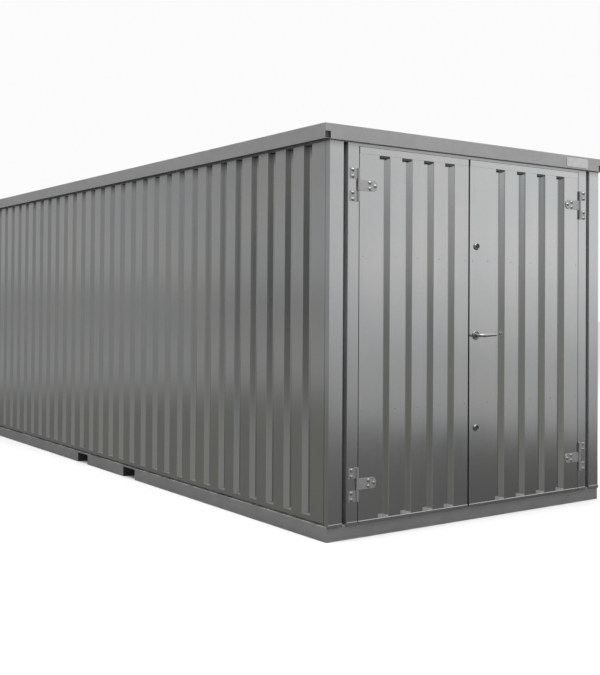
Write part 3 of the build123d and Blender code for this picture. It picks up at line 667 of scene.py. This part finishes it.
# ---- handle and locks ---------------------------------------------------------------------------------
rose_v, rose_f = [], []
turned(rose_v, rose_f, [(9.7, 0.0), (26.0, 0.0), (26.0, 3.6), (25.2, 5.4), (23.4, 6.6), (21.2, 7.0), (17.6, 6.9),
                        (16.8, 6.1), (16.0, 5.6), (14.6, 5.6), (13.8, 6.2), (13.2, 6.8), (9.7, 6.8)], 48,
       facing(HANDLE_X, HANDLE_Z, FY))
n_cap = len(rose_f)
rose_f = rose_f[:n_cap - 2] + [tuple(a for a in (k, (k + 1) % 48, 12 * 48 + (k + 1) % 48, 12 * 48 + k))
                               for k in range(48)]
piece("handle_rose_piece", rose_v, rose_f, BODY["handle_rose"], [NICKEL],
      sharp=50.0, stands_for=("handle_rose",))


def lever():
    """A round bar that leaves the rose, turns through an elbow and tapers to a rounded tip."""
    path = []
    y_arm, elbow = FY - 50.0, 15.0
    for y in (FY - 1.0, FY - 11.0, FY - 23.0, y_arm + elbow):
        path.append((Vector((HANDLE_X, y, HANDLE_Z)), Vector((0, -1, 0)), 9.0, 9.0))
    for k in range(1, 9):
        a = math.radians(90 * k / 8)
        path.append((Vector((HANDLE_X + elbow * (1 - math.cos(a)), y_arm + elbow - elbow * math.sin(a), HANDLE_Z)),
                     Vector((math.sin(a), -math.cos(a), 0)), 9.0 + 1.9 * k / 8, 9.0 - 0.6 * k / 8))
    x0, x1 = HANDLE_X + elbow, 102.0
    for k in range(1, 17):
        q = k / 16
        x = x0 + (x1 - 7.0 - x0) * q
        path.append((Vector((x, y_arm, HANDLE_Z + 3.5 * q)), Vector((1, 0, 0.04)).normalized(),
                     10.9 - 2.7 * q, 8.4 - 1.1 * q))
    for k in range(1, 7):
        a = math.radians(90 * k / 6)
        path.append((Vector((x1 - 7.0 + 7.0 * math.sin(a), y_arm, HANDLE_Z + 3.5 + 0.3 * math.sin(a))),
                     Vector((1, 0, 0.04)).normalized(), max(0.3, 8.2 * math.cos(a)), max(0.3, 7.3 * math.cos(a))))
    n, verts, faces = 28, [], []
    for p, d, tall, deep in path:
        up = Vector((0, 0, 1))
        up = (up - d * up.dot(d)).normalized()
        out = d.cross(up)
        for k in range(n):
            a = 2 * math.pi * k / n
            verts.append(tuple(p + up * (tall * math.sin(a)) + out * (deep * math.cos(a))))
    for i in range(len(path) - 1):
        for k in range(n):
            p, q = i * n + k, i * n + (k + 1) % n
            faces.append((p, q, q + n, p + n))
    faces.append(tuple(range(n)))
    faces.append(tuple((len(path) - 1) * n + k for k in range(n)))
    return verts, faces


lv, lf = lever()
piece("handle_lever_piece", lv, lf, BODY["handle_lever"], [STEEL], sharp=60.0,
      stands_for=("handle_lever",))

lock_v, lock_f, lock_m = [], [], []
for z in LOCK_Z:
    b, f0 = len(lock_v), len(lock_f)
    ring = [(13.4, 0.0), (20.0, 0.0), (20.0, 4.4), (19.3, 6.6), (17.9, 8.2), (16.4, 9.0), (15.0, 8.9), (14.0, 8.0),
            (13.4, 6.4)]
    turned(lock_v, lock_f, ring, 40, facing(LOCK_X, z, FY))
    del lock_f[-2:]
    lock_f += [(b + k, b + 8 * 40 + k, b + 8 * 40 + (k + 1) % 40, b + (k + 1) % 40) for k in range(40)]
    lock_m += [0] * (len(lock_f) - f0)
    # the core is a disc with a keyway through its face
    f0 = len(lock_f)
    for half in (-1, 1):
        b = len(lock_v)
        arc = [(1.2 * half, 12.7)] + [(half * 12.9 * math.sin(math.radians(a)), 12.9 * math.cos(math.radians(a)))
                                      for a in range(10, 180, 10)] + [(1.2 * half, -12.7)]
        m = len(arc)
        for y in (FY - 0.5, FY - 4.4):
            lock_v += [(LOCK_X + a, y, z + c) for a, c in arc]
        lock_v += [(LOCK_X + a * 0.93 + 0.08 * half, FY - 4.9, z + c * 0.95) for a, c in arc]
        lock_f += [tuple(b + k for k in range(m)), tuple(b + 2 * m + k for k in range(m))]
        for lay in (0, 1):
            lock_f += [(b + lay * m + k, b + lay * m + (k + 1) % m, b + (lay + 1) * m + (k + 1) % m,
                        b + (lay + 1) * m + k) for k in range(m)]
    # the ends of the keyway are filled, so only its middle is open
    for top in (4.6, -12.6):
        box_island(lock_v, lock_f, LOCK_X - 1.15, LOCK_X + 1.15, FY - 4.7, FY - 0.6, z + top, z + top + 8.0, 0.1)
    lock_m += [1] * (len(lock_f) - f0)
piece("lock_cylinders_piece", lock_v, lock_f, BODY["lock_cylinders"], [NICKEL, CORE], lock_m, 50.0,
      ("lock_cylinders",))

# ---- bolts and rivets ---------------------------------------------------------------------------------
fixed_v, fixed_f = [], []
for s in (-1, 1):
    for hz in HINGE_Z:
        for dz in (-77.0, -43.0, 43.0, 77.0):
            turned(fixed_v, fixed_f, dome(9.8, 8.0), 20, facing(s * 931.0, hz + dz, FY - 3.0))
piece("hinge_bolts_fixed", fixed_v, fixed_f, "container", [BOLT], sharp=55.0)

for s, tag in ((-1, "left"), (1, "right")):
    v, f = [], []
    for hz in HINGE_Z:
        for x, dz in ((816.0, 15.5), (816.0, -15.5), (779.0, 0.0)):
            turned(v, f, dome(9.8, 8.0), 20, facing(s * x, hz + dz, FY - 4.0))
    piece(f"hinge_bolts_{tag}_leaf", v, f, f"{tag}_door", [BOLT], sharp=55.0)

for tag, flats in (("left", (-858.0, -628.0, -467.0, -307.0, -103.0)),
                   ("right", (-43.0, 80.0, 272.5, 449.5, 626.5, 858.0))):
    v, f = [], []
    for z in (662.0, 1473.0):
        for x in flats:
            turned(v, f, dome(3.0, 1.3, 0.3, 4), 14, facing(x, z, FY + 0.3))
    piece(f"leaf_rivets_{tag}", v, f, f"{tag}_door", [RIVET], sharp=55.0)

v, f = [], []
for x in (785.0, 955.0):
    turned(v, f, dome(2.8, 1.0, 0.2, 4), 12, facing(x, 2109.0, -FYO - 1.9))
piece("plate_rivets", v, f, "container", [BOLT], sharp=55.0)

# webs a little behind the square drain notches at the roof edge's corners, painted near black as the shade inside the
# notches
v, f = [], []
for s in (-1, 1):
    for end in (-1, 1):
        y = end * (FYO - 11.0)
        x0, x1 = sorted((s * (FX - 3.0), s * (FX - 42.0)))
        box_island(v, f, x0, x1, min(y, y - end * 1.5), max(y, y - end * 1.5), EAVE + 2.4, EAVE + 42.0, 0.2)
piece("drain_webs", v, f, "container", [NOTCH_SHADE])

# ---- floor, light and camera --------------------------------------------------------------------------
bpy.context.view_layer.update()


def azimuth_ramp(nt, x, y, stops):
    """Grey level by compass direction, from (degrees, value) stops."""
    a = nt.nodes.new("ShaderNodeMath")
    a.operation = "ARCTAN2"
    nt.links.new(y, a.inputs[0])
    nt.links.new(x, a.inputs[1])
    r = nt.nodes.new("ShaderNodeMapRange")
    r.inputs["From Min"].default_value, r.inputs["From Max"].default_value = -math.pi, math.pi
    nt.links.new(a.outputs[0], r.inputs["Value"])
    ramp = nt.nodes.new("ShaderNodeValToRGB")
    ramp.color_ramp.interpolation = "EASE"
    el = ramp.color_ramp.elements
    while len(el) > 1:
        el.remove(el[-1])
    for k, (deg, col) in enumerate(stops):
        e = el[0] if k == 0 else el.new((deg + 180.0) / 360.0)
        e.position = (deg + 180.0) / 360.0
        e.color = (*col, 1.0)
    nt.links.new(r.outputs["Result"], ramp.inputs["Fac"])
    return ramp.outputs["Color"]


def mixed(nt, fac, a, b):
    n = nt.nodes.new("ShaderNodeMix")
    n.data_type = "RGBA"
    for i, v in ((0, fac), (6, a), (7, b)):
        if isinstance(v, bpy.types.NodeSocket):
            nt.links.new(v, n.inputs[i])
        else:
            n.inputs[i].default_value = v if i == 0 else (*v, 1.0)
    return n.outputs[2]


def smooth(nt, value, a, b):
    n = nt.nodes.new("ShaderNodeMapRange")
    n.interpolation_type = "SMOOTHSTEP"
    nt.links.new(value, n.inputs["Value"])
    n.inputs["From Min"].default_value, n.inputs["From Max"].default_value = a, b
    return n.outputs["Result"]


def grey(v, warm=0.0):
    return (v * (1 + warm), v * (1 + warm * 0.6), v * (1 - warm))


world = bpy.data.worlds.new("studio")
scene.world = world
world.use_nodes = True
wt = world.node_tree
wt.nodes.clear()
w_out = wt.nodes.new("ShaderNodeOutputWorld")
w_bg = wt.nodes.new("ShaderNodeBackground")
w_co = wt.nodes.new("ShaderNodeTexCoord")
w_xyz = wt.nodes.new("ShaderNodeSeparateXYZ")
w_lp = wt.nodes.new("ShaderNodeLightPath")
wt.links.new(w_co.outputs["Generated"], w_xyz.inputs[0])
# what the bright sheets mirror: rings of grey by compass direction, stacked from the ground up to the sky
GROUND = [(-180, grey(0.18)), (-159.5, grey(0.125, 0.05)), (-156.5, grey(0.142, 0.05)), (-147, grey(0.205, 0.05)),
          (-141, grey(0.27, 0.02)), (-133, grey(0.28)), (-118, grey(0.27)), (-90, grey(0.18)), (-66, grey(0.13)),
          (-50, grey(0.138, 0.01)), (-37, grey(0.105, 0.03)), (0, grey(0.15)), (60, grey(0.17)), (105, grey(0.168, 0.03)),
          (130, grey(0.168, 0.03)), (155, grey(0.17)), (180, grey(0.18))]
RINGS = [
    (-6.8, -5.2, [(-180, grey(0.14)), (-177, grey(0.14)), (-173, grey(0.30)), (-170, grey(0.28)), (-159.5, grey(0.16, 0.05)),
                  (-156.5, grey(0.18, 0.05)), (-147, grey(0.215, 0.05)), (-141, grey(0.26)), (-133, grey(0.27)),
                  (-124.5, grey(0.27)), (-121, grey(0.135)), (-105, grey(0.15)), (-90, grey(0.30)), (-84, grey(0.22)),
                  (-66, grey(0.22)), (-58, grey(0.36)), (-53, grey(0.38)), (-50, grey(0.44)), (-37, grey(0.48)),
                  (0, grey(0.36)), (60, grey(0.33)), (110, grey(0.325)), (128, grey(0.325)), (150, grey(0.31)),
                  (160, grey(0.38)), (172, grey(0.38)), (176.5, grey(0.15)), (180, grey(0.14))]),
    (-3.5, -0.5, [(-180, grey(0.12)), (-177, grey(0.12)), (-173, grey(0.38)), (-170, grey(0.34)), (-160, grey(0.175, 0.04)),
                  (-149.5, grey(0.23, 0.04)), (-145.5, grey(0.22, 0.04)), (-141, grey(0.27)), (-133, grey(0.28)),
                  (-124.6, grey(0.31)), (-122, grey(0.105)), (-118, grey(0.095)), (-105, grey(0.13)), (-97, grey(0.34)),
                  (-84, grey(0.34)), (-66, grey(0.34)), (-58, grey(0.50)), (-53, grey(0.52)), (-50, grey(0.59)),
                  (-37, grey(0.68)), (0, grey(0.50)), (60, grey(0.34)), (110, grey(0.288)), (128, grey(0.275)),
                  (150, grey(0.30)), (160, grey(0.46)), (172, grey(0.48)), (176.5, grey(0.14)), (180, grey(0.12))]),
    (0.4, 1.8, [(-180, grey(0.12)), (-177, grey(0.12)), (-173, grey(0.42)), (-170, grey(0.38)), (-160, grey(0.265)),
                (-152, grey(0.36)), (-149, grey(0.43)), (-146.2, grey(0.25)), (-141, grey(0.30)), (-133, grey(0.29)),
                (-124.6, grey(0.34)), (-122, grey(0.115)), (-118, grey(0.105)), (-105, grey(0.13)), (-96, grey(0.32)),
                (-84, grey(0.44)), (-66, grey(0.44)), (-58, grey(0.62)), (-53, grey(0.64)), (-50, grey(0.70)),
                (-37, grey(0.84)), (-20, grey(0.86)), (0, grey(0.62)), (60, grey(0.42)), (110, grey(0.392, -0.012)),
                (128, grey(0.37, -0.012)), (150, grey(0.36)),
                (160, grey(0.50)), (172, grey(0.52)), (176.5, grey(0.15)), (180, grey(0.12))]),
    (4.5, 8.0, [(-180, grey(0.16)), (-177, grey(0.16)), (-173, grey(0.46)), (-170, grey(0.45)), (-159.5, grey(0.43)),
                (-152, grey(0.55)), (-149, grey(0.76)), (-146.4, grey(0.16)), (-141, grey(0.32)), (-133, grey(0.30)),
                (-124.6, grey(0.36)), (-122, grey(0.16)), (-118, grey(0.14)), (-105, grey(0.16)), (-96, grey(0.32)),
                (-84, grey(0.50)), (-66, grey(0.50)), (-58, grey(0.66)), (-53, grey(0.66)), (-50, grey(0.70)),
                (-37, grey(0.83)), (-20, grey(0.85)), (0, grey(0.68)), (60, grey(0.42)), (110, grey(0.357, -0.012)),
                (128, grey(0.34, -0.012)), (150, grey(0.36)),
                (160, grey(0.50)), (172, grey(0.52)), (176.5, grey(0.19)), (180, grey(0.16))])]
# the edge of the dark ground lies lower in front of the doors than beside the long wall
tilt = wt.nodes.new("ShaderNodeMath")
tilt.operation = "MULTIPLY_ADD"
wt.links.new(azimuth_ramp(wt, w_xyz.outputs[0], w_xyz.outputs[1], [
    (-180, grey(0.5)), (-90, grey(0.5)), (-65, grey(1.0)), (-20, grey(1.0)), (20, grey(0.5)), (80, grey(0.5)),
    (103, grey(0.0)), (135, grey(0.0)), (160, grey(0.5)), (180, grey(0.5))]), tilt.inputs[0])
tilt.inputs[1].default_value = 0.035
wt.links.new(w_xyz.outputs[2], tilt.inputs[2])
sky = azimuth_ramp(wt, w_xyz.outputs[0], w_xyz.outputs[1], GROUND)
for k, (e0, e1, stops) in enumerate(RINGS):
    ring = azimuth_ramp(wt, w_xyz.outputs[0], w_xyz.outputs[1], stops)
    lift = 0.0175 if k == 0 else 0.0
    sky = mixed(wt, smooth(wt, w_xyz.outputs[2] if k else tilt.outputs[0], math.sin(math.radians(e0)) + lift,
                           math.sin(math.radians(e1)) + lift), sky, ring)
high_sky = mixed(wt, smooth(wt, w_xyz.outputs[2], 0.22, 0.75), sky, grey(0.98))
wt.links.new(mixed(wt, w_lp.outputs["Is Camera Ray"], high_sky, (0.97, 0.97, 0.97)), w_bg.inputs["Color"])
wt.links.new(w_bg.outputs[0], w_out.inputs[0])

bm = bmesh.new()
bmesh.ops.create_circle(bm, cap_ends=True, radius=70.0, segments=96)
fm = bpy.data.meshes.new("floor")
bm.to_mesh(fm)
bm.free()
floor = bpy.data.objects.new("floor", fm)
scene.collection.objects.link(floor)
floor.location = (0.0, 0.0, -0.0004)
fmat = bpy.data.materials.new("pale_floor")
fmat.use_nodes = True
f_pr = fmat.node_tree.nodes["Principled BSDF"]
f_pr.inputs["Base Color"].default_value = (0.9, 0.9, 0.9, 1.0)
f_pr.inputs["Roughness"].default_value = 1.0
f_pr.inputs["Specular IOR Level"].default_value = 0.0
fm.materials.append(fmat)
# the sheets mirror the rings of the world below the horizon too, not the studio floor
floor.visible_glossy = False

key = bpy.data.lights.new("overhead", "AREA")
key.shape = "RECTANGLE"
key.size, key.size_y = 9.0, 11.0
key.energy = 900.0
key_o = bpy.data.objects.new("overhead", key)
scene.collection.objects.link(key_o)
key_o.location = (-1.5, -2.0, 8.0)
key_o.visible_camera = False

yaw, pit, rol = math.radians(34.18786), math.radians(0.7233), math.radians(0.3811)
fwd = Vector((math.sin(yaw) * math.cos(pit), math.cos(yaw) * math.cos(pit), math.sin(pit)))
right = Vector((math.cos(yaw), -math.sin(yaw), 0.0))
up = right.cross(fwd)
r2 = right * math.cos(rol) + up * math.sin(rol)
u2 = up * math.cos(rol) - right * math.sin(rol)
cam = bpy.data.cameras.new("camera")
cam.sensor_width = 36.0
cam.lens = 996.874 * 36.0 / 675.0
cam.shift_x, cam.shift_y = 40.0 / 675.0, -47.5 / 675.0
cam.clip_start, cam.clip_end = 0.05, 400.0
cam_o = bpy.data.objects.new("camera", cam)
scene.collection.objects.link(cam_o)
cam_o.matrix_world = Matrix(((r2.x, u2.x, -fwd.x, -4.24008), (r2.y, u2.y, -fwd.y, -6.63864),
                             (r2.z, u2.z, -fwd.z, 1.22612), (0.0, 0.0, 0.0, 1.0)))
scene.camera = cam_o
scene.view_settings.view_transform = "Standard"
scene.view_settings.look = "None"
